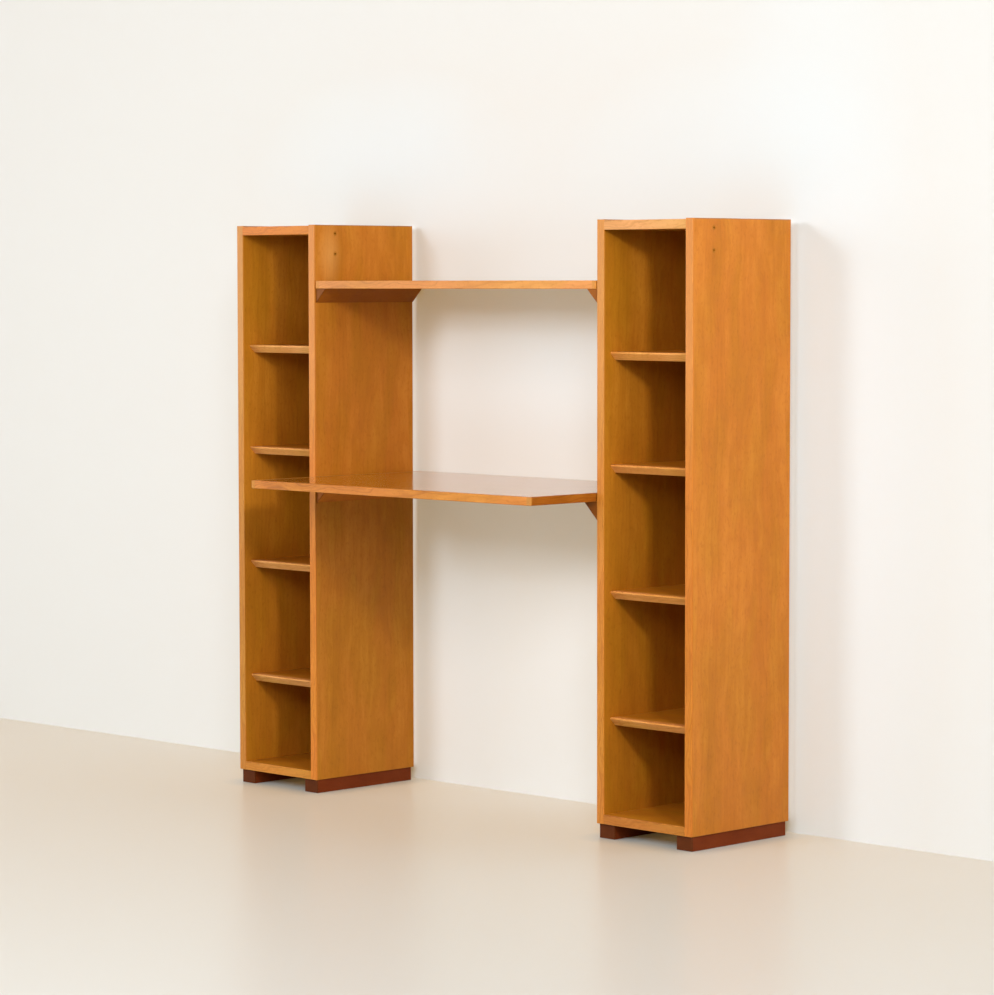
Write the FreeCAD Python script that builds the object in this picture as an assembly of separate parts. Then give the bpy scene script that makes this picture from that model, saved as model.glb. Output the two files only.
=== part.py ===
import FreeCAD, Part
import math
import os
from FreeCAD import Placement, Rotation, Vector

# Modular desk: two open shelf towers, with a desk top and an upper shelf resting on cleats between them.
# Millimetres. The origin is on the floor under the middle of the whole desk, +X to the right as the user
# sits, +Y to the wall and +Z up.

# Driving dimensions of a tower
tower_width = 270.0
tower_depth = 310.0
side_height = 1280.0
side_thickness = 20.0
board_thickness = 20.0
top_drop = 2.0
lipping_depth = 4.0
edge_radius = 0.8

# Inner shelves of a tower, with their top faces as shares of the side's height
shelf_height_shares = (0.1765, 0.387, 0.5965, 0.7825)
shelf_thickness = 17.5
shelf_setback = 21.0
shelf_nose = 3.5
shelf_bevel_degrees = 45.0
shelf_lipping_depth = 22.0

# Back panel of a tower, in a rebate along the rear inner corners of its sides
back_thickness = 6.0
rebate_width = 9.0

# Runners that a tower stands on
runner_height = 31.0
runner_width = 43.0
runner_side_inset = 3.5
runner_front_inset = 5.5
runner_back_inset = 6.0

# Desk top and upper shelf, which span the gap between the towers
span = 890.0
desk_height = 734.0
desk_thickness = 18.0
desk_protrusion = 197.0
desk_behind = 20.0
upper_shelf_drop = 128.0
upper_shelf_thickness = 18.0
end_gap = 4.0
solid_edge = 11.0
desk_edge_radius = 1.5

# Cleats: three-sided battens with equal legs
desk_cleat_leg = 43.0
upper_cleat_leg = 33.0
cleat_front_inset = 4.0
cleat_edge_radius = 0.5

# Dowels that hold a tower's boards and shelves between its sides
dowel_radius = 4.0
dowel_in_board = 22.0
dowel_cover = 8.0
board_dowel_shares = (0.12, 0.5, 0.88)
shelf_dowel_shares = (0.3, 0.7)

# Pegs that locate the desk top and upper shelf on their cleats
peg_radius = 3.0
peg_in_cleat = 10.0
peg_cover = 8.0
peg_shares = (0.3, 0.7)

# Slotted countersunk wood screws
screw_radius = 2.0
screw_head_radius = 4.0
screw_head_height = 2.4
screw_tip_height = 4.0
screw_tip_radius = 0.4
screw_slot_width = 1.0
screw_slot_depth = 1.1
screw_cover = 6.0
counterbore_radius = 4.5
cleat_seat_margin = 1.0
cleat_screw_shares = (0.17, 0.83)
runner_counterbore_depth = 9.0
runner_screw_shares = (0.28, 0.72)

# Pins that hold the back panel
pin_radius = 0.8
pin_head_radius = 1.6
pin_head_height = 0.8
pin_length = 20.0
pin_end_inset = 60.0
pins_up_a_side = 7
pins_across_a_board = 2

# Pair of fixing holes near the top of a tower's right side
fixing_radius = 2.5
fixing_depth = 12.0
fixing_from_front = 65.0
fixing_from_top = 19.5
fixing_spacing = 47.0

# Clearances, and the overrun of a cut past the face that it opens
fit_clearance = 0.1
hole_end_clearance = 1.0
overrun = 5.0

# Planes and lengths that follow from the driving dimensions
desk_depth = desk_protrusion + tower_depth + desk_behind
desk_front = -desk_depth / 2
desk_back = desk_front + desk_depth
tower_front = desk_front + desk_protrusion
tower_back = tower_front + tower_depth
back_face = tower_back - back_thickness
side_bottom = runner_height
side_top = side_bottom + side_height
upper_shelf_height = side_top - upper_shelf_drop
top_board_top = side_top - top_drop
top_board_bottom = top_board_top - board_thickness
board_middles = (side_bottom + board_thickness / 2, top_board_bottom + board_thickness / 2)
shelf_front = tower_front + shelf_setback
shelf_tops = [side_bottom + side_height * share for share in shelf_height_shares]
dowel_in_side = side_thickness - dowel_cover
dowel_length = dowel_in_side + dowel_in_board
runner_screw_length = runner_height - runner_counterbore_depth + board_thickness - screw_cover
tower_lefts = {"left_tower": -span / 2 - tower_width, "right_tower": span / 2}
along_x = Vector(1, 0, 0)
along_y = Vector(0, 1, 0)
along_z = Vector(0, 0, 1)


def block(low, high):
    """Box from its lowest to its highest corner."""
    size = Vector(*high) - Vector(*low)
    return Part.makeBox(size.x, size.y, size.z, Vector(*low))


def prism(corners, path):
    """Straight bar whose end face has the given corners."""
    return Part.Face(Part.makePolygon(corners + corners[:1])).extrude(path)


def edges_along(shape, axis):
    """Straight edges of a shape that run along an axis."""
    found = []
    for edge in shape.Edges:
        run = edge.Vertexes[-1].Point - edge.Vertexes[0].Point
        if abs(run.dot(axis)) > edge.Length / 2:
            found.append(edge)
    return found


def rounded_in_front(shape, depth):
    """Rounds the crosswise edges that lie within a depth of the front."""
    limit = shape.BoundBox.YMin + depth
    edges = [edge for edge in edges_along(shape, along_x) if edge.CenterOfMass.y < limit]
    return shape.makeFillet(edge_radius, edges)


def split_in_front(shape, depth):
    """Parts a board into its veneered panel and the solid lipping on its front."""
    box = shape.BoundBox
    low = (box.XMin - overrun, box.YMin - overrun, box.ZMin - overrun)
    high = (box.XMax + overrun, box.YMin + depth, box.ZMax + overrun)
    front = block(low, high)
    return shape.cut(front), shape.common(front)


def between(low, high, share):
    """Place at a share of the way from low to high."""
    return low + (high - low) * share


def bar(radius, start, direction, length):
    """Round bar from a point along a direction."""
    return Part.makeCylinder(radius, length, start, direction)


def bar_hole(radius, start, direction, length):
    """Hole that a round bar fits in, a little wider and longer than the bar."""
    spare = direction * hole_end_clearance
    return bar(radius + fit_clearance, start - spare, direction, length + 2 * hole_end_clearance)


def aimed(shape, seat, direction):
    """Turns a shape made along +Z to a direction and moves it to its seat."""
    shape.Placement = Placement(seat, Rotation(along_z, direction))
    return shape


def screw(seat, direction, length):
    """Slotted countersunk screw whose head face lies at its seat."""
    head = Part.makeCone(screw_head_radius, screw_radius, screw_head_height)
    shank_length = length - screw_head_height - screw_tip_height
    shank = bar(screw_radius, along_z * screw_head_height, along_z, shank_length)
    tip_start = along_z * (length - screw_tip_height)
    tip = Part.makeCone(screw_radius, screw_tip_radius, screw_tip_height, tip_start)
    slot_low = (-screw_head_radius, -screw_slot_width / 2, 0)
    slot_high = (screw_head_radius, screw_slot_width / 2, screw_slot_depth)
    whole = head.fuse([shank, tip]).cut(block(slot_low, slot_high))
    return aimed(whole, seat, direction)


def screw_hole(seat, direction, length, counterbore_depth):
    """Pilot hole, countersink and counterbore for a screw at its seat."""
    pilot = bar(screw_radius + fit_clearance, Vector(), along_z, length + hole_end_clearance)
    wide = screw_head_radius + fit_clearance
    sink = Part.makeCone(wide, screw_radius + fit_clearance, screw_head_height)
    mouth = bar(counterbore_radius, along_z * -counterbore_depth, along_z, counterbore_depth)
    return aimed(pilot.fuse([sink, mouth]), seat, direction)


def pin(seat):
    """Panel pin driven forwards, with its head flush in the back panel."""
    head = bar(pin_head_radius, seat, -along_y, pin_head_height)
    shank_start = seat - along_y * pin_head_height
    shank = bar(pin_radius, shank_start, -along_y, pin_length - pin_head_height)
    return head.fuse(shank)


def pin_hole(seat):
    """Hole for a panel pin and its head."""
    head_start = seat + along_y * overrun
    head = bar(pin_head_radius + fit_clearance, head_start, -along_y, overrun + pin_head_height)
    shank = bar(pin_radius + fit_clearance, seat, -along_y, pin_length + hole_end_clearance)
    return head.fuse(shank)


def inner_faces(left):
    """Inner faces of a tower's two sides, each with the direction into the tower."""
    return ((left + side_thickness, along_x), (left + tower_width - side_thickness, -along_x))


def dowel_places(left, low_y, high_y, shares, heights):
    """Where the dowels of a tower's boards start, and which way they point."""
    places = []
    for inner, inward in inner_faces(left):
        for height in heights:
            for share in shares:
                on_face = Vector(inner, between(low_y, high_y, share), height)
                places.append((on_face - inward * dowel_in_side, inward))
    return places


def board_dowel_places(left):
    """Dowels of the top and bottom boards."""
    return dowel_places(left, tower_front, back_face, board_dowel_shares, board_middles)


def shelf_dowel_places(left):
    """Dowels of the inner shelves."""
    heights = [top - shelf_thickness / 2 for top in shelf_tops]
    return dowel_places(left, shelf_front, back_face, shelf_dowel_shares, heights)


def pin_seats(left):
    """Where the pins enter a tower's back panel: up both sides, and across both boards."""
    seats = []
    low = side_bottom + pin_end_inset
    high = top_board_top - pin_end_inset
    for inner, inward in inner_faces(left):
        column = inner - inward.x * rebate_width / 2
        for step in range(pins_up_a_side):
            seats.append(Vector(column, tower_back, between(low, high, step / (pins_up_a_side - 1))))
    for height in board_middles:
        for step in range(pins_across_a_board):
            share = (step + 1) / (pins_across_a_board + 1)
            column = between(left + side_thickness, left + tower_width - side_thickness, share)
            seats.append(Vector(column, tower_back, height))
    return seats


def runner_corners(left, on_right):
    """Lowest and highest corner of one of a tower's runners."""
    low_x = left + runner_side_inset
    if on_right:
        low_x = left + tower_width - runner_side_inset - runner_width
    low = (low_x, tower_front + runner_front_inset, 0)
    high = (low_x + runner_width, tower_back - runner_back_inset, runner_height)
    return low, high


def runner_screw_places(left):
    """Seats of the screws that hold a tower's runners, midway over the bottom board's bearing."""
    bearing = (side_thickness + runner_side_inset + runner_width) / 2
    places = []
    for column in (left + bearing, left + tower_width - bearing):
        for share in runner_screw_shares:
            low_y = tower_front + runner_front_inset
            depth = between(low_y, tower_back - runner_back_inset, share)
            places.append(Vector(column, depth, runner_counterbore_depth))
    return places


def fixing_holes(left):
    """Pair of open holes near the top of a tower's right side."""
    outer = left + tower_width
    depth = tower_front + fixing_from_front
    holes = []
    for drop in (fixing_from_top, fixing_from_top + fixing_spacing):
        start = Vector(outer + overrun, depth, side_top - drop)
        holes.append(bar(fixing_radius, start, -along_x, overrun + fixing_depth))
    return holes


def side(left, on_right):
    """Whole side of a tower, rounded on its outer edges and rebated for the back panel."""
    low_x = left + tower_width - side_thickness if on_right else left
    high_x = low_x + side_thickness
    whole = block((low_x, tower_front, side_bottom), (high_x, tower_back, side_top))
    whole = whole.makeFillet(edge_radius, whole.Edges)
    rebate_low = low_x - overrun if on_right else high_x - rebate_width
    rebate_high = low_x + rebate_width if on_right else high_x + overrun
    low = (rebate_low, back_face, side_bottom - overrun)
    high = (rebate_high, tower_back + overrun, side_top + overrun)
    return whole.cut(block(low, high))


def tower_board(left, low_z):
    """Top or bottom board of a tower, between its sides."""
    low = (left + side_thickness, tower_front, low_z)
    high = (left + tower_width - side_thickness, back_face, low_z + board_thickness)
    return rounded_in_front(block(low, high), lipping_depth)


def tower_shelf(left, top):
    """Inner shelf: a short upright nose, and below it a bevel that slopes back."""
    bottom = top - shelf_thickness
    bevel = (shelf_thickness - shelf_nose) * math.tan(math.radians(shelf_bevel_degrees))
    start = left + side_thickness
    outline = (
        (shelf_front, top),
        (shelf_front, top - shelf_nose),
        (shelf_front + bevel, bottom),
        (back_face, bottom),
        (back_face, top),
    )
    corners = [Vector(start, y, z) for y, z in outline]
    whole = prism(corners, along_x * (tower_width - 2 * side_thickness))
    return rounded_in_front(whole, shelf_lipping_depth)


def tower_back_panel(left):
    """Back panel in the rebates of both sides, over the rear edges of both boards."""
    low = (left + side_thickness - rebate_width, back_face, side_bottom)
    high = (left + tower_width - side_thickness + rebate_width, tower_back, top_board_top)
    return block(low, high)


def framed_board(low, high):
    """Veneered panel with solid lippings all round; those at the ends run through to the front."""
    whole = block(low, high)
    whole = whole.makeFillet(desk_edge_radius, whole.Edges)
    (x0, y0, z0), (x1, y1, z1) = low, high
    below, above = z0 - overrun, z1 + overrun
    left = block((x0 - overrun, y0 - overrun, below), (x0 + solid_edge, y1 + overrun, above))
    right = block((x1 - solid_edge, y0 - overrun, below), (x1 + overrun, y1 + overrun, above))
    front = block((x0 - overrun, y0 - overrun, below), (x1 + overrun, y0 + solid_edge, above))
    rear = block((x0 - overrun, y1 - solid_edge, below), (x1 + overrun, y1 + overrun, above))
    middle = whole.cut([left, right])
    return {
        "panel": middle.cut([front, rear]),
        "front_lipping": middle.common(front),
        "rear_lipping": middle.common(rear),
        "left_lipping": whole.common(left),
        "right_lipping": whole.common(right),
    }


def cleat(wall, outward, top, leg):
    """Three-sided batten: one leg on a tower's side, the other under the board that it carries."""
    low_y = tower_front + cleat_front_inset
    corner = Vector(wall, low_y, top)
    corners = [corner, corner - outward * leg, corner - along_z * leg]
    whole = prism(corners, along_y * (tower_back - low_y))
    thin_edges = []
    for edge in edges_along(whole, along_y):
        if (edge.Vertexes[0].Point - corner).cross(along_y).Length > leg / 2:
            thin_edges.append(edge)
    return whole.makeFillet(cleat_edge_radius, thin_edges)


def cleat_screw_places(wall, outward, top, leg):
    """Seats of a cleat's screws, at half its height, deep enough for a whole counterbore."""
    seat_x = wall - outward.x * cleat_seat_depth(leg)
    low_y = tower_front + cleat_front_inset
    return [Vector(seat_x, between(low_y, tower_back, share), top - leg / 2) for share in cleat_screw_shares]


def cleat_seat_depth(leg):
    """Wood left between a tower's side and the head of a cleat screw."""
    return leg / 2 - counterbore_radius - cleat_seat_margin


def cleat_screw_length(leg):
    """A cleat screw stops short of the tower's inner face."""
    return cleat_seat_depth(leg) + side_thickness - screw_cover


def cleat_plug(whole, seat, outward, leg):
    """Round plug over a cleat screw, flush with the cleat's slanted face."""
    return bar(counterbore_radius - fit_clearance, seat, -outward, leg / 2).common(whole)


def peg_places(wall, outward, top):
    """Lower ends of the pegs that stand in a cleat and reach up into a board's end lipping."""
    column = wall - outward.x * (end_gap + solid_edge / 2)
    low_y = tower_front + cleat_front_inset
    return [Vector(column, between(low_y, tower_back, share), top - peg_in_cleat) for share in peg_shares]


def write(name, shapes):
    """Writes one sub-part, of one or more solids, to its own file."""
    solids = [solid for shape in shapes for solid in shape.Solids]
    whole = solids[0] if len(solids) == 1 else Part.makeCompound(solids)
    whole.exportStep(f"parts/{name}.step")
    print(f"{name}: {len(solids)} solids, {whole.Volume:.0f} cubic mm, valid {whole.isValid()}")


def write_tower(name, left, wall_holes):
    """Writes every piece of one tower; the wall holes are those of the cleats that it carries."""
    board_dowels = board_dowel_places(left)
    shelf_dowels = shelf_dowel_places(left)
    dowel_holes = [bar_hole(dowel_radius, *place, dowel_length) for place in board_dowels + shelf_dowels]
    pins = pin_seats(left)
    pin_holes = [pin_hole(seat) for seat in pins]
    runner_screws = runner_screw_places(left)
    mouth_depth = runner_counterbore_depth + overrun
    runner_holes = [screw_hole(seat, along_z, runner_screw_length, mouth_depth) for seat in runner_screws]

    for label, on_right in (("left", False), ("right", True)):
        holes = dowel_holes + pin_holes + wall_holes
        if on_right:
            holes = holes + fixing_holes(left)
        panel, lipping = split_in_front(side(left, on_right), lipping_depth)
        write(f"{name}_{label}_side", [panel.cut(holes)])
        write(f"{name}_{label}_side_lipping", [lipping])
        runner = block(*runner_corners(left, on_right))
        runner = runner.makeFillet(edge_radius, runner.Edges)
        write(f"{name}_{label}_runner", [runner.cut(runner_holes)])

    for label, low_z in (("bottom", side_bottom), ("top", top_board_bottom)):
        panel, lipping = split_in_front(tower_board(left, low_z), lipping_depth)
        write(f"{name}_{label}_board", [panel.cut(dowel_holes + pin_holes + runner_holes)])
        write(f"{name}_{label}_lipping", [lipping])

    shelf_lippings = []
    for number, top in enumerate(shelf_tops, start=1):
        panel, lipping = split_in_front(tower_shelf(left, top), shelf_lipping_depth)
        write(f"{name}_shelf_{number}", [panel.cut(dowel_holes)])
        shelf_lippings.append(lipping)
    write(f"{name}_shelf_lippings", shelf_lippings)

    write(f"{name}_back_panel", [tower_back_panel(left).cut(pin_holes)])
    write(f"{name}_board_dowels", [bar(dowel_radius, *place, dowel_length) for place in board_dowels])
    write(f"{name}_shelf_dowels", [bar(dowel_radius, *place, dowel_length) for place in shelf_dowels])
    write(f"{name}_back_pins", [pin(seat) for seat in pins])
    write(f"{name}_runner_screws", [screw(seat, along_z, runner_screw_length) for seat in runner_screws])


def write_hung_board(name, low_y, high_y, height, thickness, leg):
    """Writes a board that rests on two cleats, with its cleats, screws, plugs and pegs.

    Returns the holes that its screws need in the towers.
    """
    underside = height - thickness
    peg_length = peg_in_cleat + thickness - peg_cover
    screws, screw_holes, plugs, pegs, peg_holes = [], [], [], [], []
    cleats = {}
    for label, outward in (("left", -along_x), ("right", along_x)):
        wall = outward.x * span / 2
        cleats[label] = cleat(wall, outward, underside, leg)
        for seat in cleat_screw_places(wall, outward, underside, leg):
            screws.append(screw(seat, outward, cleat_screw_length(leg)))
            screw_holes.append(screw_hole(seat, outward, cleat_screw_length(leg), leg / 2))
            plugs.append(cleat_plug(cleats[label], seat, outward, leg))
        for start in peg_places(wall, outward, underside):
            pegs.append(bar(peg_radius, start, along_z, peg_length))
            peg_holes.append(bar_hole(peg_radius, start, along_z, peg_length))

    low = (end_gap - span / 2, low_y, underside)
    high = (span / 2 - end_gap, high_y, height)
    for piece, shape in framed_board(low, high).items():
        write(f"{name}_{piece}", [shape.cut(peg_holes)])
    for label, shape in cleats.items():
        write(f"{name}_{label}_cleat", [shape.cut(screw_holes + peg_holes)])
    write(f"{name}_cleat_screws", screws)
    write(f"{name}_cleat_plugs", plugs)
    write(f"{name}_pegs", pegs)
    return screw_holes


os.makedirs("parts", exist_ok=True)
desk_holes = write_hung_board(
    "desk", desk_front, desk_back, desk_height, desk_thickness, desk_cleat_leg
)
upper_holes = write_hung_board(
    "upper_shelf", tower_front, tower_back, upper_shelf_height, upper_shelf_thickness, upper_cleat_leg
)
for tower_name, tower_left in tower_lefts.items():
    write_tower(tower_name, tower_left, desk_holes + upper_holes)
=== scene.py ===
# %% [markdown]
# A modular desk: two open shelf towers, with a desk top and an upper shelf resting on cleats between them.
# Its boards are veneered and lacquered, its edges are lipped with solid wood, and its cleats and runners are
# a darker red-brown wood. The solids already have the right size and shape, so this lesson is about
# finishes: how a slice of a log gets its figure, what lacquer does to it, and how soft light in a pale room
# shows it.

# %% Load the frame, and a helper for a part's box
import math

import bmesh
import bpy
from mathutils import Matrix, Vector


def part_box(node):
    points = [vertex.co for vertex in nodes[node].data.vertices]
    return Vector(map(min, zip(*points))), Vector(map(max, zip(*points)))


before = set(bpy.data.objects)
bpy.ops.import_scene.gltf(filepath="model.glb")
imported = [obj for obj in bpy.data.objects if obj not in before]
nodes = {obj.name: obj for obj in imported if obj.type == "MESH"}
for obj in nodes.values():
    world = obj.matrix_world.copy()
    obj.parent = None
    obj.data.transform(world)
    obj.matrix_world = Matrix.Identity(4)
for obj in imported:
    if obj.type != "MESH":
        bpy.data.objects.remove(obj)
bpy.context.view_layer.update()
MM = 0.001

# %% [markdown]
# Four small helpers carry the whole file. One turns a colour as a designer writes it into the linear light
# that the renderer counts in. One adds a node to a material, with its settings and its links. One begins a
# material, so that each finish can be written as a short list of nodes. The last adds up several values,
# each times its weight, which is how the marks of a wood become one tone.

# %% Colours, nodes, a new material and a sum


def linear(code):
    """An sRGB hex colour as linear red, green, blue and alpha, by the formula of the sRGB standard."""
    parts = [int(code[i:i + 2], 16) / 255 for i in (1, 3, 5)]
    return [c / 12.92 if c <= 0.04045 else ((c + 0.055) / 1.055) ** 2.4 for c in parts] + [1.0]


def add(tree, kind, inputs=None, **settings):
    """Adds a node, sets its settings, and fills its inputs with values or with links."""
    made = tree.nodes.new(kind)
    for key, value in settings.items():
        setattr(made, key, value)
    for key, value in (inputs or {}).items():
        if isinstance(value, bpy.types.NodeSocket):
            tree.links.new(value, made.inputs[key])
        else:
            made.inputs[key].default_value = value
    return made


def begin(name):
    """A new material with an empty node tree, and its output node."""
    material = bpy.data.materials.new(name)
    material.use_nodes = True
    material.node_tree.nodes.clear()
    return material, material.node_tree, add(material.node_tree, "ShaderNodeOutputMaterial")


def weigh(tree, total, parts):
    """Adds each part, times its weight, to a total."""
    for part, weight in parts:
        total = add(tree, "ShaderNodeMath", {0: part, 1: weight, 2: total},
                    operation="MULTIPLY_ADD").outputs[0]
    return total


print("honey brown in linear light:", [round(part, 3) for part in linear("#b36e15")])

# %% [markdown]
# Wood first. A growth ring is a thin cone inside the trunk, and a board or a leaf of veneer is a flat slice
# through those cones. Where the slice runs close past the heart of the log, the rings come out as nested
# arches, and farther out they come out as straight stripes. So the material works out how far each point
# lies from the heart, and repeats a ring every 2 to 10 mm of that distance. Nothing is painted by hand:
# moving the heart changes the figure, as it does in a mill.
#
# The solids keep their coordinates, so a Mapping node does the milling. It turns the grain upright and moves
# the heart of the log to zero. A trunk isn't straight either: its grain wanders sideways by a few
# millimetres, and everything drawn later follows that wander. A soft noise, stretched along the grain,
# gives it.

# %% Where a point lies in its log
GRAIN_TURNS = {"x": (0.0, -math.pi / 2, 0.0), "y": (math.pi / 2, 0.0, 0.0), "z": (0.0, 0.0, 0.0)}
WANDER = 34 * MM
WANDER_SIZES = (60 * MM, 60 * MM, 150 * MM)
NOISE_MEAN = 0.5


def place_in_log(tree, grain, heart):
    """Coordinates with the grain along Z and the heart of the log at zero."""
    turn = GRAIN_TURNS[grain]
    turned_heart = Vector(heart)
    for axis, angle in zip("XYZ", turn):
        turned_heart = Matrix.Rotation(angle, 3, axis) @ turned_heart
    point = add(tree, "ShaderNodeTexCoord").outputs["Object"]
    place = add(tree, "ShaderNodeMapping", {
        "Vector": point, "Rotation": turn, "Location": -turned_heart}).outputs[0]
    soft = add(tree, "ShaderNodeVectorMath", {0: place, 1: WANDER_SIZES}, operation="DIVIDE").outputs[0]
    sway = add(tree, "ShaderNodeTexNoise", {"Vector": soft, "Scale": 1.0, "Detail": 2.0}).outputs["Color"]
    even = add(tree, "ShaderNodeVectorMath", {0: sway, 1: (NOISE_MEAN,) * 3}, operation="SUBTRACT")
    return add(tree, "ShaderNodeVectorMath", {0: even.outputs[0], 1: (WANDER, WANDER, 0.0), 2: place},
               operation="MULTIPLY_ADD").outputs[0]


print("grain directions:", sorted(GRAIN_TURNS), "wander:", round(WANDER / MM), "mm")

# %% [markdown]
# The rings of a trunk aren't even. A taper makes them cones, and each ring gets a strength of its own from
# its number. Inside a ring the pale early wood darkens slowly to late wood and then stops short, so the ramp
# climbs gently and falls at its end.

# %% Growth rings
RING = 10 * MM
TAPER = 0.03
LATE_WOOD_STARTS, LATE_WOOD_PEAKS = 0.3, 0.84


def growth_rings(tree, place, ring):
    """How dark the late wood is at each point, from 0 to 1."""
    split = add(tree, "ShaderNodeSeparateXYZ", {0: place})
    flat = add(tree, "ShaderNodeCombineXYZ", {0: split.outputs[0], 1: split.outputs[1]}).outputs[0]
    radius = add(tree, "ShaderNodeVectorMath", {0: flat}, operation="LENGTH").outputs["Value"]
    rings = weigh(tree, 0.0, ((radius, 1 / ring), (split.outputs[2], TAPER / ring)))
    share = add(tree, "ShaderNodeMath", {0: rings}, operation="FRACT").outputs[0]
    number = add(tree, "ShaderNodeMath", {0: rings}, operation="FLOOR").outputs[0]
    strength = add(tree, "ShaderNodeTexWhiteNoise", {"W": number}, noise_dimensions="1D").outputs["Value"]
    late = add(tree, "ShaderNodeValToRGB", {"Fac": share})
    late.color_ramp.interpolation = "EASE"
    start, peak = late.color_ramp.elements
    start.position, start.color = LATE_WOOD_STARTS, (0, 0, 0, 1)
    peak.position, peak.color = LATE_WOOD_PEAKS, (1, 1, 1, 1)
    late.color_ramp.elements.new(1.0).color = (0, 0, 0, 1)
    return add(tree, "ShaderNodeMath", {0: late.outputs[0], 1: strength}, operation="MULTIPLY").outputs[0]


print("one ring more for every", round(RING / TAPER / MM), "mm of height")

# %% [markdown]
# Over the rings lie the smaller marks: a slow drift of colour, stripes, fibres, short dark pores and cloudy
# flecks where the grain rolls. Each is a noise, stretched along the grain. The table gives how wide and how
# long each one is, and how many finer layers it has. Real fibres and pores are about 0.2 mm wide, which is
# too fine to show from across a room, so they are drawn about 5 mm wide. The patches are where the wood
# leans to gold instead of to pink.

# %% The marks along the grain
MARKS = {
    "drift": (75 * MM, 500 * MM, 2.0),
    "stripe": (15 * MM, 110 * MM, 1.0),
    "fibre": (5.0 * MM, 19 * MM, 2.0),
    "pore": (4.2 * MM, 10 * MM, 1.0),
    "cloud": (30 * MM, 60 * MM, 2.0),
    "patch": (55 * MM, 240 * MM, 1.0),
}


def grain_marks(tree, place):
    """One noise for each kind of mark."""
    marks = {}
    for name, (across, along, layers) in MARKS.items():
        sizes = (across, across, along)
        scaled = add(tree, "ShaderNodeVectorMath", {0: place, 1: sizes}, operation="DIVIDE").outputs[0]
        noise = add(tree, "ShaderNodeTexNoise", {"Vector": scaled, "Scale": 1.0, "Detail": layers})
        marks[name] = noise.outputs["Fac"]
    return marks


print("marks:", ", ".join(MARKS))

# %% [markdown]
# The marks add up to one tone, from 0 to 1, and a ramp turns the tone into wood. A board is named by its
# middle colour alone. The ends of its ramp follow from that: late wood loses more green and blue than red,
# and early wood gains them, which is why wood looks redder where it is darker. The golden patches are
# multiplied over it.

# %% From a tone to the colour of wood
MIDDLE = 0.5
LATE = (0.70, 0.64, 0.55, 1.0)
EARLY = (1.36, 1.60, 2.40, 1.0)
GOLD = "#f3ffd2"
GOLD_STARTS, GOLD_FULL = 0.42, 0.62


def wood_colour(tree, tone, middle_code, patches, patch):
    """The wood's colour at each point, from its tone and its golden patches."""
    ramp = add(tree, "ShaderNodeValToRGB", {"Fac": tone})
    dark, pale = ramp.color_ramp.elements
    middle = linear(middle_code)
    dark.color = [part * share for part, share in zip(middle, LATE)]
    pale.color = [min(part * share, 1.0) for part, share in zip(middle, EARLY)]
    ramp.color_ramp.elements.new(MIDDLE).color = middle
    golden = add(tree, "ShaderNodeMapRange", {
        "Value": patches, "From Min": GOLD_STARTS, "From Max": GOLD_FULL, "To Max": patch}).outputs[0]
    return add(tree, "ShaderNodeMix", {0: golden, 6: ramp.outputs[0], 7: linear(GOLD)}, data_type="RGBA",
               blend_type="MULTIPLY").outputs[2]


print("gold lean:", GOLD)

# %% [markdown]
# A board may have soft spots of another tone, where it was worn, stained or rubbed down. Each is given as
# its tone, its centre, half its size and its strength. A Mapping node measures every point against that
# half size, and the other tone fades out with the distance.

# %% A soft spot of another tone
SPOT_ENDS = 1.1


def soft_spot(tree, colour, code, centre, half, strength, full=0.7):
    """Mixes another tone in round a place, full up to a share of its half size."""
    point = add(tree, "ShaderNodeTexCoord").outputs["Object"]
    scaled = add(tree, "ShaderNodeMapping", {"Vector": point, "Location": centre, "Scale": half},
                 vector_type="TEXTURE").outputs[0]
    distance = add(tree, "ShaderNodeVectorMath", {0: scaled}, operation="LENGTH").outputs["Value"]
    share = add(tree, "ShaderNodeMapRange", {
        "Value": distance, "From Min": SPOT_ENDS, "From Max": full, "To Max": strength}).outputs[0]
    return add(tree, "ShaderNodeMix", {0: share, 6: colour, 7: linear(code)}, data_type="RGBA").outputs[2]


print("a spot ends at", SPOT_ENDS, "of its half size")

# %% [markdown]
# The wood material puts all of this together. The mean of every mark is taken off the tone first, so that a
# board keeps its middle colour whatever marks it has. The fibres and pores also raise and sink the surface a
# little, because lacquer never fills them quite, and the darker wood is a little shinier. Satin lacquer has
# a roughness near 0.4. A gloss coat is added only where the wood mirrors the room.

# %% Lacquered wood
PORE_STARTS, PORE_FULL = 0.56, 0.72
RINGS_MEAN, PORES_MEAN = 0.25, 0.1
RELIEF, RELIEF_STRENGTH = 0.15 * MM, 0.25
FIBRE_HEIGHT, PORE_HEIGHT = 0.4, -1.0
GLOSS_SWING = 0.05
LACQUER_IOR = 1.5


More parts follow.
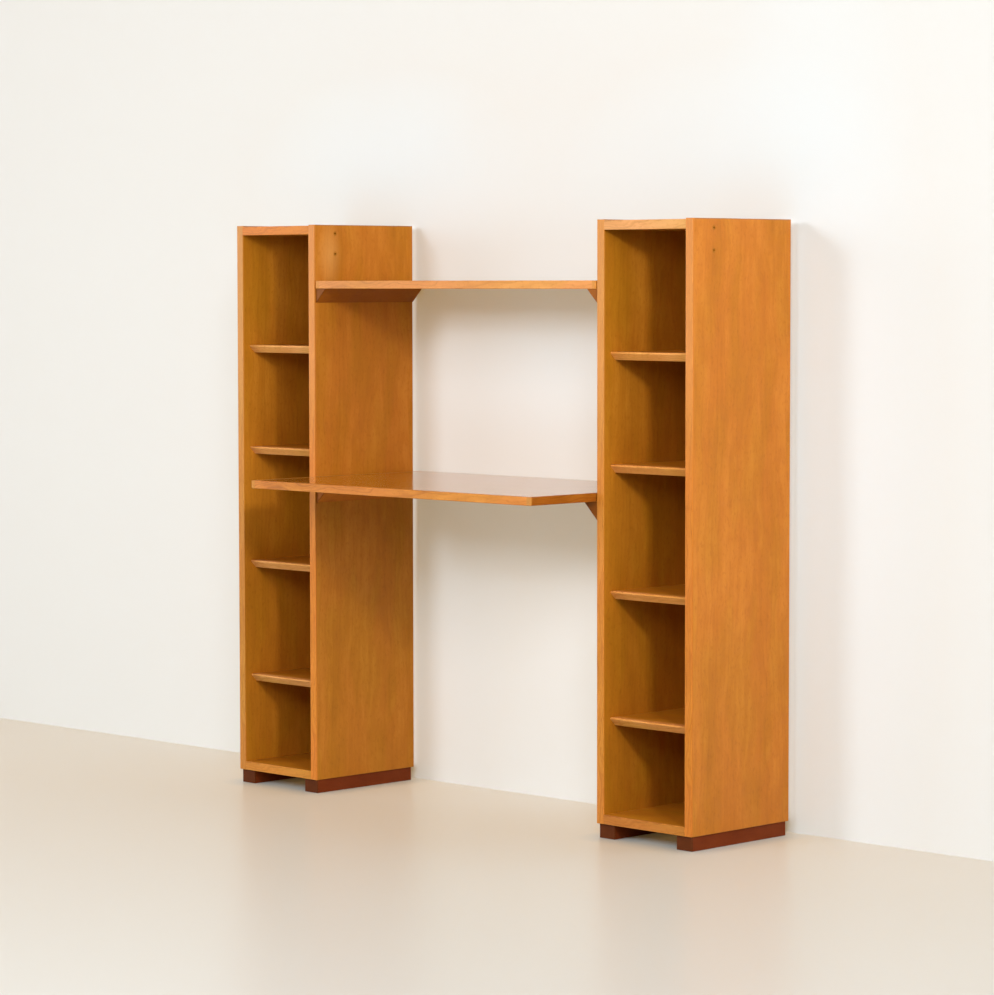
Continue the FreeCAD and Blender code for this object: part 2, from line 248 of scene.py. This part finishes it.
def wood(name, code, grain, heart, ring=RING, figure=0.11, drift=0.6, stripe=0.3, fibre=0.16, pore=0.16,
         cloud=0.3, patch=0.6, roughness=0.42, shine=0.16, coat=0.0, coat_roughness=0.22, spots=()):
    """Lacquered wood. The heart is a point in the middle of its log, and the grain runs along one axis."""
    material, tree, output = begin(name)
    place = place_in_log(tree, grain, heart)
    rings = growth_rings(tree, place, ring)
    marks = grain_marks(tree, place)
    pores = add(tree, "ShaderNodeMapRange", {
        "Value": marks["pore"], "From Min": PORE_STARTS, "From Max": PORE_FULL}).outputs[0]
    level = MIDDLE - NOISE_MEAN * (drift + stripe + fibre + cloud) + RINGS_MEAN * figure + PORES_MEAN * pore
    tone = weigh(tree, level, (
        (marks["drift"], drift), (marks["stripe"], stripe), (marks["fibre"], fibre),
        (marks["cloud"], cloud), (rings, -figure), (pores, -pore)))
    colour = wood_colour(tree, tone, code, marks["patch"], patch)
    for spot in spots:
        colour = soft_spot(tree, colour, *spot)

    height = weigh(tree, 0.0, ((marks["fibre"], FIBRE_HEIGHT), (pores, PORE_HEIGHT)))
    bump = add(tree, "ShaderNodeBump", {"Height": height, "Strength": RELIEF_STRENGTH, "Distance": RELIEF})
    matt = add(tree, "ShaderNodeMapRange", {
        "Value": tone, "To Min": roughness - GLOSS_SWING, "To Max": roughness + GLOSS_SWING})
    shader = add(tree, "ShaderNodeBsdfPrincipled", {
        "Base Color": colour, "Roughness": matt.outputs[0], "Normal": bump.outputs[0],
        "IOR": LACQUER_IOR, "Specular IOR Level": shine,
        "Coat Weight": coat, "Coat Roughness": coat_roughness, "Coat IOR": LACQUER_IOR,
    })
    tree.links.new(shader.outputs[0], output.inputs["Surface"])
    return material


def dress(node, material):
    """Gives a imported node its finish."""
    for slot in nodes[node].material_slots:
        slot.material = material


print("relief:", RELIEF / MM, "mm")

# %% [markdown]
# The boards are chipboard or blockboard under teak veneer: leaves about 0.6 mm thick, sliced from a log,
# glued down, sanded and sprayed with satin lacquer. To the eye that is an orange brown with soft,
# low-contrast figure. The tower sides are the largest faces, so each has its own leaf with its own heart. On
# the outer face of the right tower and on the facing side of the left tower the arches stand in the lower
# half, a little behind the middle of the board.
#
# Round the two fixing holes near the top of a right side the veneer is painted a darker brown, a little
# wider than the holes. On the left tower the veneer round them is also paler, where a bracket was taken off
# and the wood was rubbed down. Both marks are placed from the board's front and top. A thin grey line is
# painted along the top edges. A spot whose half size is WIDE or TALL, in metres, takes in the whole board
# that way.

# %% Teak veneer on the tower sides
TEAK = "#b46b15"
LEAVES = {
    "right_tower_right_side": ("#b46418", 0.16),
    "right_tower_left_side": ("#ae6815", 0.16),
    "left_tower_right_side": ("#ad6318", 0.08),
    "left_tower_left_side": ("#ba7019", 0.16),
}
HEART_DEPTH = 55 * MM
HEART_BACK_SHARE = 0.63
HEART_HEIGHT = 200 * MM
WIDE, TALL = 1.0, 2.0
TOP_LINE_TONE, TOP_LINE_HEIGHT, TOP_LINE_STRENGTH = "#8a6a4c", 2.2 * MM, 0.5
HOLE_BACK, HOLE_DROPS = 61 * MM, (19.5 * MM, 66.5 * MM)
HOLE_RING_TONE, HOLE_RING_SPREAD, HOLE_RING_STRENGTH = "#96590a", 6 * MM, 0.7
RUBBED_TONE, RUBBED_STRENGTH, RUBBED_FULL = "#e2a458", 0.32, 0.1
RUBBED_BACK, RUBBED_DROP = 43.5 * MM, 71 * MM
RUBBED_HALF = (20 * MM, 34 * MM, 80 * MM)
for node, (code, shine) in LEAVES.items():
    low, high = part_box(node)
    # A thin grey line painted along the top edge of each side.
    spots = [(TOP_LINE_TONE, high, (WIDE, WIDE, TOP_LINE_HEIGHT), TOP_LINE_STRENGTH)]
    if node == "left_tower_right_side":
        rubbed = (high.x, low.y + RUBBED_BACK, high.z - RUBBED_DROP)
        spots.append((RUBBED_TONE, rubbed, RUBBED_HALF, RUBBED_STRENGTH, RUBBED_FULL))
    # On both right sides a darker brown is painted round each fixing hole.
    if node.endswith("right_side"):
        for drop in HOLE_DROPS:
            hole = (high.x, low.y + HOLE_BACK, high.z - drop)
            spots.append((HOLE_RING_TONE, hole, (HOLE_RING_SPREAD,) * 3, HOLE_RING_STRENGTH))
    outer = high.x - HEART_DEPTH if node.endswith("right_side") else low.x + HEART_DEPTH
    heart = (outer, low.y + HEART_BACK_SHARE * (high.y - low.y), HEART_HEIGHT)
    dress(node, wood(f"teak_veneer_{node}", code, "z", heart, shine=shine, spots=spots))
    print(node, "heart at", [round(part, 3) for part in heart])

# %% [markdown]
# Shelves, top boards and bottom boards have the same veneer with its grain running from side to side. Mostly
# their edges show, and the undersides of the high ones, so each takes its leaf from a heart just below it.
# The back panels are thin sheets whose grain stands upright.

# %% Teak veneer on shelves, boards and backs
BOARD_HEART_SHARE = 0.3
HEART_BELOW = 60 * MM
BACK_HEART_X, BACK_HEART_Y = 60 * MM, -50 * MM
for node in nodes:
    low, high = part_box(node)
    if node.endswith("board") or node[:-1].endswith("_shelf_"):
        back = low.y + BOARD_HEART_SHARE * (high.y - low.y)
        heart = ((low.x + high.x) / 2, back, low.z - HEART_BELOW)
        dress(node, wood(f"teak_veneer_{node}", TEAK, "x", heart))
    if node.endswith("back_panel"):
        heart = (low.x + BACK_HEART_X, low.y + BACK_HEART_Y, HEART_HEIGHT)
        dress(node, wood(f"teak_veneer_{node}", TEAK, "z", heart, shine=0.2))
        print(node, "stands", round((high.z - low.z) / MM), "mm high")

# %% [markdown]
# The desk top and the upper shelf are veneered as well, but years of polish have given them a gloss that
# mirrors the pale wall at a low angle. That mirror is a clear coat over the satin wood: a second thin layer
# with a low roughness of its own. The veneer under it still shows its brown where the reflection breaks.

# %% Polished teak on the desk top and the upper shelf
POLISH = {"roughness": 0.22, "coat": 0.76, "coat_roughness": 0.11}
for node in ("desk_panel", "upper_shelf_panel"):
    low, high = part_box(node)
    heart = (low.x, (low.y + high.y) / 2, low.z - HEART_BELOW)
    dress(node, wood(f"polished_teak_{node}", TEAK, "x", heart, **POLISH))
    print(node, "is", [round(part / MM) for part in high - low], "mm")

# %% [markdown]
# The lippings are strips of solid teak, paler than the veneer because they are cut from younger wood, and
# their grain follows their length. A solid strip shows its rings closer together than a broad leaf does. No
# two strips come from the same plank, so most have a tone of their own. On the towers the front of a strip
# is painted paler towards the top, and its flanks have the tone of the veneer beside them.
# The strip on the desk's right end is much darker and mottled but for its front end, and the polish of the
# desk top runs on over its rear strip.

# %% Solid teak lippings
SOLID = "#c47729"
STRIPS = {
    "right_tower_right_side_lipping": "#c46b1d", "right_tower_left_side_lipping": "#c47225",
    "left_tower_right_side_lipping": "#d27421", "left_tower_left_side_lipping": "#c27529",
    "right_tower_top_lipping": "#d08a4a", "left_tower_top_lipping": "#ce7222",
    "right_tower_bottom_lipping": "#b86b25", "left_tower_bottom_lipping": "#ca7b29",
    "right_tower_shelf_lippings": "#d4843c", "left_tower_shelf_lippings": "#d98d47",
    "desk_front_lipping": "#c47024", "desk_right_lipping": "#954c0c", "upper_shelf_front_lipping": "#d1803a",
}
PLAIN = {"figure": 0.25, "cloud": 0.3}
MOTTLED = {
    "desk_front_lipping": {"figure": 0.35, "cloud": 0.7},
    "desk_right_lipping": {"figure": 0.55, "cloud": 1.0},
}
STRIP_HEART = Vector((50, 60, 40)) * MM
FLANK_DEPTH, FLANK_STRENGTH = 4 * MM, 0.8
# The front of a tower strip is painted paler towards the top.
PALER_TOP = ("#e8b070", (0.0, 0.0, 1.4), (TALL, TALL, 0.6), 0.19)
PALE_END_TONE, PALE_END_HALF, PALE_END_STRENGTH = "#d08a3c", (30 * MM, 6 * MM, 30 * MM), 0.6
lippings = [node for node in nodes if node.endswith(("lipping", "lippings"))]
for node in lippings:
    low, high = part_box(node)
    size = high - low
    on_shelves = node.endswith("lippings")
    grain = "x" if on_shelves else "xyz"[max(range(3), key=lambda axis: size[axis])]
    spots = []
    if node.endswith("side_lipping"):
        veneer = LEAVES[node.removesuffix("_lipping")][0]
        spots = [PALER_TOP, (veneer, high, (WIDE, FLANK_DEPTH, TALL), FLANK_STRENGTH)]
    if node == "desk_right_lipping":
        spots = [(PALE_END_TONE, (high.x, low.y, high.z), PALE_END_HALF, PALE_END_STRENGTH)]
    dress(node, wood(
        f"solid_teak_{node}", STRIPS.get(node, SOLID), grain, (low + high) / 2 + STRIP_HEART, ring=4 * MM,
        roughness=0.45, shine=0.05 if on_shelves else 0.14, coat=1.0 if node == "desk_rear_lipping" else 0.0,
        coat_roughness=0.08, spots=spots, **MOTTLED.get(node, PLAIN)))
print("lippings:", len(lippings))

# %% [markdown]
# Runners and cleats are beech, stained and lacquered. Beech is dense and even, so it shows almost no figure,
# and the stain leaves it less shiny than the teak. The runners took a dark red-brown stain. The cleats and
# the plugs over their screws are a plainer, lighter brown. The two cleats of the desk differ by painted
# light and shade: the left one is painted lighter for the light bounced up from the floor, and the right one
# darker. End grain drinks more stain than the flanks do, and it shows at the front ends of the runners. The
# front ends of the two left cleats are darker as well, partly end grain and partly painted shade.

# %% Stained beech
STAINS = {"runner": "#6b2a0b", "cleat": "#924d0c", "plugs": "#924d0c"}
# Painted light and shade: the left desk cleat is lighter, the right one darker.
LIT_AND_SHADED_CLEATS = {"desk_left_cleat": "#b25b0e", "desk_right_cleat": "#7b3d07"}
BEECH_HEART = Vector((90, 0, -60)) * MM
DARK_FRONT_DEPTH, END_STRENGTH = 3 * MM, 0.45
# Darker front ends: end grain on the runners, and end grain with painted shade on the two left cleats.
FRONT_TONES_GRAIN_AND_SHADE = {"runner": "#3c260c", "desk_left_cleat": "#5f2f06", "upper_shelf_left_cleat": "#5f2f06"}
for node in nodes:
    kind = node.split("_")[-1]
    if kind in STAINS:
        code = LIT_AND_SHADED_CLEATS.get(node, STAINS[kind])
        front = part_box(node)[0]
        darker = FRONT_TONES_GRAIN_AND_SHADE.get(kind) or FRONT_TONES_GRAIN_AND_SHADE.get(node)
        spots = [(darker, front, (WIDE, DARK_FRONT_DEPTH, WIDE), END_STRENGTH)] if darker else []
        dress(node, wood(f"stained_beech_{node}", code, "y", front + BEECH_HEART, ring=3 * MM, patch=0.0,
                         shine=0.06, cloud=0.6 if kind == "runner" else 0.3, spots=spots))
        print(node, "stained", code)

# %% [markdown]
# The dowels and pegs are bare beech, turned and unfinished, and they sit hidden in the joints. They get the
# same kind of wood without lacquer: paler and rough.

# %% Bare beech
BARE = "#c8a97a"
for node in nodes:
    if node.endswith(("dowels", "pegs")):
        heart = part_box(node)[0]
        dress(node, wood(f"bare_beech_{node}", BARE, "x", heart, ring=2 * MM, patch=0.0, roughness=0.7,
                         shine=0.2))
        print(node, "bare")

# %% [markdown]
# Screws and panel pins are drawn mild steel with a dull zinc grey. Drawing leaves fine lines along the
# shank, which show only as a slightly uneven gloss, so a fine noise moves the roughness and nothing else.

# %% Drawn steel
ZINC_GREY = "#8a8680"
DRAWN_LINE = 0.4 * MM
SMOOTHEST, ROUGHEST = 0.28, 0.48
material, tree, output = begin("drawn_steel")
point = add(tree, "ShaderNodeTexCoord").outputs["Object"]
lines = add(tree, "ShaderNodeTexNoise", {
    "Vector": point, "Scale": 1 / DRAWN_LINE, "Detail": 2.0}).outputs["Fac"]
gloss = add(tree, "ShaderNodeMapRange", {
    "Value": lines, "To Min": SMOOTHEST, "To Max": ROUGHEST}).outputs[0]
shader = add(tree, "ShaderNodeBsdfPrincipled", {
    "Base Color": linear(ZINC_GREY), "Metallic": 1.0, "Roughness": gloss})
tree.links.new(shader.outputs[0], output.inputs["Surface"])
for node in nodes:
    if node.endswith(("screws", "pins")):
        dress(node, material)
        print(node, "in steel")

# %% [markdown]
# The stage is a pale polished floor and a white wall, which stands just behind the towers. In such a room
# the light that reaches the deep shadows has already bounced off warm wood and floor. A small stage has too
# little of that, so a share of each paint is an even, warm glow. Only the camera sees it, and mirrors and
# glass with it: no glow falls on the desk. On the floor it fades where something stands within 60 mm, so
# that the gap under a tower stays dark. The wall is clear from behind, so that the back of the desk can be
# looked at too.

# %% Backdrop paint
CLOSE, CLOSE_SAMPLES = 60 * MM, 4


def background_rays(tree):
    """One for the camera's own rays and for those that a mirror or glass sends on, and zero for the rest."""
    rays = add(tree, "ShaderNodeLightPath").outputs
    seen = rays["Is Camera Ray"]
    for kind in ("Is Glossy Ray", "Is Transmission Ray"):
        seen = add(tree, "ShaderNodeMath", {0: seen, 1: rays[kind]}, operation="MAXIMUM").outputs[0]
    return seen


def paint(name, code, glow, share, roughness, shine, cooler=(), fades=False, one_sided=False):
    """Paint for the stage. Its glow is seen by the camera and in reflections, and lights nothing."""
    material, tree, output = begin(name)
    colour = linear(code)
    for spot in cooler:
        colour = soft_spot(tree, colour, *spot)
    shader = add(tree, "ShaderNodeBsdfPrincipled", {
        "Base Color": colour, "Roughness": roughness, "Specular IOR Level": shine})
    strength = 1.0
    if fades:
        strength = add(tree, "ShaderNodeAmbientOcclusion", {"Distance": CLOSE},
                       samples=CLOSE_SAMPLES).outputs["AO"]
    even = add(tree, "ShaderNodeEmission", {"Color": linear(glow), "Strength": strength})
    part = add(tree, "ShaderNodeMath", {0: background_rays(tree), 1: share}, operation="MULTIPLY").outputs[0]
    final = add(tree, "ShaderNodeMixShader", {0: part, 1: shader.outputs[0], 2: even.outputs[0]})
    if one_sided:
        clear = add(tree, "ShaderNodeBsdfTransparent")
        behind = add(tree, "ShaderNodeNewGeometry").outputs["Backfacing"]
        final = add(tree, "ShaderNodeMixShader", {0: behind, 1: final.outputs[0], 2: clear.outputs[0]})
    tree.links.new(final.outputs[0], output.inputs["Surface"])
    return material


print("the floor's glow fades within", round(CLOSE / MM), "mm of what stands on it")

# %% [markdown]
# Each part of the stage is one large square. It is made flat, and then turned and moved into place in its
# mesh.

# %% A square of the stage
HALF = 12.0


def sheet(name, turn, place, material):
    """A flat square of the stage."""
    mesh = bpy.data.meshes.new(name)
    flat = bmesh.new()
    bmesh.ops.create_grid(flat, x_segments=1, y_segments=1, size=HALF)
    bmesh.ops.transform(flat, matrix=Matrix.Translation(place) @ turn, verts=flat.verts)
    flat.to_mesh(mesh)
    flat.free()
    made = bpy.data.objects.new(name, mesh)
    made.data.materials.append(material)
    bpy.context.scene.collection.objects.link(made)
    print(name, "faces", [round(part, 2) for part in mesh.polygons[0].normal])
    return made


print("the stage is", round(2 * HALF), "m across")

# %% [markdown]
# The wall is turned about half a degree against the desk, as in the picture. It throws no shadow, or the
# floor's glow would fade along its foot as well. Close to the towers the wall gets more of the wood's warm
# light than in the real, larger room, so its paint is a little cooler in five places, each with soft
# edges. The table gives where each lies on the wall, half its width and height, and its strength.

# %% Floor and wall
FLOOR_COLOUR, FLOOR_GLOW = "#d7edf5", "#fbc67a"
WALL_COLOUR, WALL_GLOW = "#e7e6e4", "#faca70"
WALL_Y = 0.271
WALL_TURN = math.radians(0.55)
COOL, COOL_FULL = "#e8f2f7", 0.1
COOL_PLACES = (
    (-0.45, 0.75, 0.32, 0.85, 0.9), (0.0, 1.05, 0.5, 0.5, 0.9), (0.74, 0.72, 0.33, 1.2, 0.9),
    (-0.55, 1.42, 0.45, 0.25, 0.8), (0.5, 1.42, 0.45, 0.25, 0.7),
)
floor_paint = paint("pale_floor", FLOOR_COLOUR, FLOOR_GLOW, share=0.4, roughness=0.3, shine=0.5, fades=True)
cooler = [(COOL, (x, WALL_Y, z), (wide, WIDE, tall), strength, COOL_FULL)
          for x, z, wide, tall, strength in COOL_PLACES]
wall_paint = paint("white_wall", WALL_COLOUR, WALL_GLOW, share=0.26, roughness=0.9, shine=0.2,
                   cooler=cooler, one_sided=True)
upright = Matrix.Rotation(WALL_TURN, 4, "Z") @ Matrix.Rotation(math.pi / 2, 4, "X")
floor = sheet("floor", Matrix.Identity(4), (0, 0, 0), floor_paint)
wall = sheet("wall", upright, (0, WALL_Y, HALF), wall_paint)
wall.visible_shadow = False

# %% [markdown]
# Beyond the wall and the floor there is only a pale surround. The camera sees it as bright as paper, and so
# does a mirror or glass. Everything else gets a twentieth of that, so it hardly lights anything.

# %% Surround
SURROUND = "#f6f1ec"
DIM = 0.05
world = bpy.data.worlds.new("room")
bpy.context.scene.world = world
world.use_nodes = True
tree = world.node_tree
tree.nodes.clear()
output = add(tree, "ShaderNodeOutputWorld")
paper = add(tree, "ShaderNodeBackground", {"Color": linear(SURROUND), "Strength": 1.0})
dim = add(tree, "ShaderNodeBackground", {"Color": linear(SURROUND), "Strength": DIM})
both = add(tree, "ShaderNodeMixShader", {0: background_rays(tree), 1: dim.outputs[0], 2: paper.outputs[0]})
tree.links.new(both.outputs[0], output.inputs["Surface"])
print("surround:", SURROUND)

# %% [markdown]
# The lamps are square soft boxes, and their light is slightly cool, as daylight is beside warm wood. A
# photographer flags each lamp so that it falls only where it is wanted. Light linking does that here with
# collections. One group lights the desk: a small key, high to the right, draws the slanted shadows inside
# the compartments, and larger boxes fill from the front and from both sides. The other group washes the wall
# and the floor from farther back, which keeps them even and leaves the desk's soft shadow on them. The
# tables give each lamp's place, its side length and its watts.

# %% Where the lamps stand
DAYLIGHT = linear("#eff6ff")[:3]
AIM = Vector((0.0, 0.0, 0.7))
DESK_LAMPS = {
    "key": ((3.6, -1.85, 2.05), 0.35, 67.5),
    "high": ((2.48, -2.48, 3.2), 1.2, 35),
    "right": ((4.5, -0.8, 2.6), 1.4, 79.5),
    "front": ((1.77, -3.81, 2.2), 1.2, 84),
    "left": ((-3.83, -3.21, 1.8), 2.5, 148),
    "back": ((0.0, 7.0, 0.8), 3.0, 450),
}
STAGE_LAMPS = {
    "wash_fill": ((-1.2, -5.0, 2.3), 0.9, 98.5),
    "wash_right": ((4.95, -4.95, 3.6), 2.0, 297),
    "wash_middle": ((2.39, -6.58, 2.6), 2.0, 59),
    "wash_front": ((1.77, -3.81, 2.2), 1.2, 31),
    "wash_left": ((-3.83, -3.21, 1.8), 2.5, 59),
}
print("lamps in the tables:", len(DESK_LAMPS) + len(STAGE_LAMPS))

# %% [markdown]
# A lamp is an area light. It is aimed at the middle of the desk, and it lights only what is in the
# collection that it is given.

# %% A lamp for one group of pieces


def group(name, pieces):
    """A collection for lamps to light."""
    made = bpy.data.collections.new(name)
    for piece in pieces:
        made.objects.link(piece)
    return made


def lamp(name, place, size, watts, lit):
    """A soft box that lights one group of pieces."""
    data = bpy.data.lights.new(name, "AREA")
    data.shape = "SQUARE"
    data.size, data.energy, data.color = size, watts, DAYLIGHT
    made = bpy.data.objects.new(name, data)
    made.location = place
    made.rotation_mode = "QUATERNION"
    made.rotation_quaternion = (AIM - Vector(place)).to_track_quat("-Z", "Y")
    made.light_linking.receiver_collection = lit
    bpy.context.scene.collection.objects.link(made)
    print(name, watts, "W on the", lit.name)
    return made


desk_group = group("desk_group", nodes.values())
stage_group = group("stage_group", (floor, wall))

# %% [markdown]
# Two kinds of lamp are special. The one named back stands behind the wall, for looks from behind. Only the
# desk can shade it, it makes no highlights, and its light doesn't bounce, so none of it comes round to the
# front. And behind each tower is a gap of 27 mm. In a real room light creeps into it from everywhere, and
# these few lamps would leave a dark line there. So a slim, faint lamp is hidden in each gap, a little in
# from the tower's outer face and about 10 mm off the wall, and lifts the wall beside the tower's edge.

# %% Two groups of lamps
GAP_INSET, GAP_WIDTH, GAP_LIFT, GAP_WATTS = 13 * MM, 40 * MM, 10 * MM, 0.09
for name, (place, size, watts) in DESK_LAMPS.items():
    made = lamp(name, place, size, watts, desk_group)
    if name == "back":
        made.light_linking.blocker_collection = desk_group
        made.visible_glossy = False
        made.data.cycles.max_bounces = 0
for name, (place, size, watts) in STAGE_LAMPS.items():
    lamp(name, place, size, watts, stage_group)
for node in ("left_tower_right_side", "right_tower_right_side"):
    low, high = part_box(node)
    middle = Vector((high.x - GAP_INSET - GAP_WIDTH / 2, WALL_Y - GAP_LIFT, (low.z + high.z) / 2))
    made = lamp(f"gap_{node}", middle, GAP_WIDTH, GAP_WATTS, stage_group)
    made.rotation_quaternion = Vector((0, 1, 0)).to_track_quat("-Z", "Y")
    made.visible_camera = False
    made.data.shape, made.data.size_y = "RECTANGLE", high.z - low.z

# %% [markdown]
# The camera stands where the photographer stood. Its place, its turn and its long lens come from edges of
# the towers, the desk and the shelves that were measured in the picture and fitted to the solids. The
# sensor's 36 mm stand for the picture's longer side, which is 995 pixels.

# %% Camera
LONGER_SIDE_PX = 995
FOCAL_PX = 3419.66
SENSOR = 36.0
FARTHEST = 60
STANDPOINT = (5.40017, -5.31341, 1.18403)
YAW, PITCH, ROLL = math.radians(45.0397), math.radians(3.6385), math.radians(0.0770)
lens = bpy.data.cameras.new("camera")
lens.sensor_width = SENSOR
lens.lens = FOCAL_PX / LONGER_SIDE_PX * SENSOR
lens.clip_end = FARTHEST
camera = bpy.data.objects.new("camera", lens)
ahead = Vector((-math.sin(YAW) * math.cos(PITCH), math.cos(YAW) * math.cos(PITCH), -math.sin(PITCH)))
level = Vector((math.cos(YAW), math.sin(YAW), 0))
down = ahead.cross(level)
across = level * math.cos(ROLL) + down * math.sin(ROLL)
down = down * math.cos(ROLL) - level * math.sin(ROLL)
turn = Matrix((across, -down, -ahead)).transposed()
camera.matrix_world = Matrix.Translation(STANDPOINT) @ turn.to_4x4()
bpy.context.scene.collection.objects.link(camera)
bpy.context.scene.camera = camera
bpy.context.scene.view_settings.view_transform = "Standard"
print("lens:", round(lens.lens, 1), "mm")
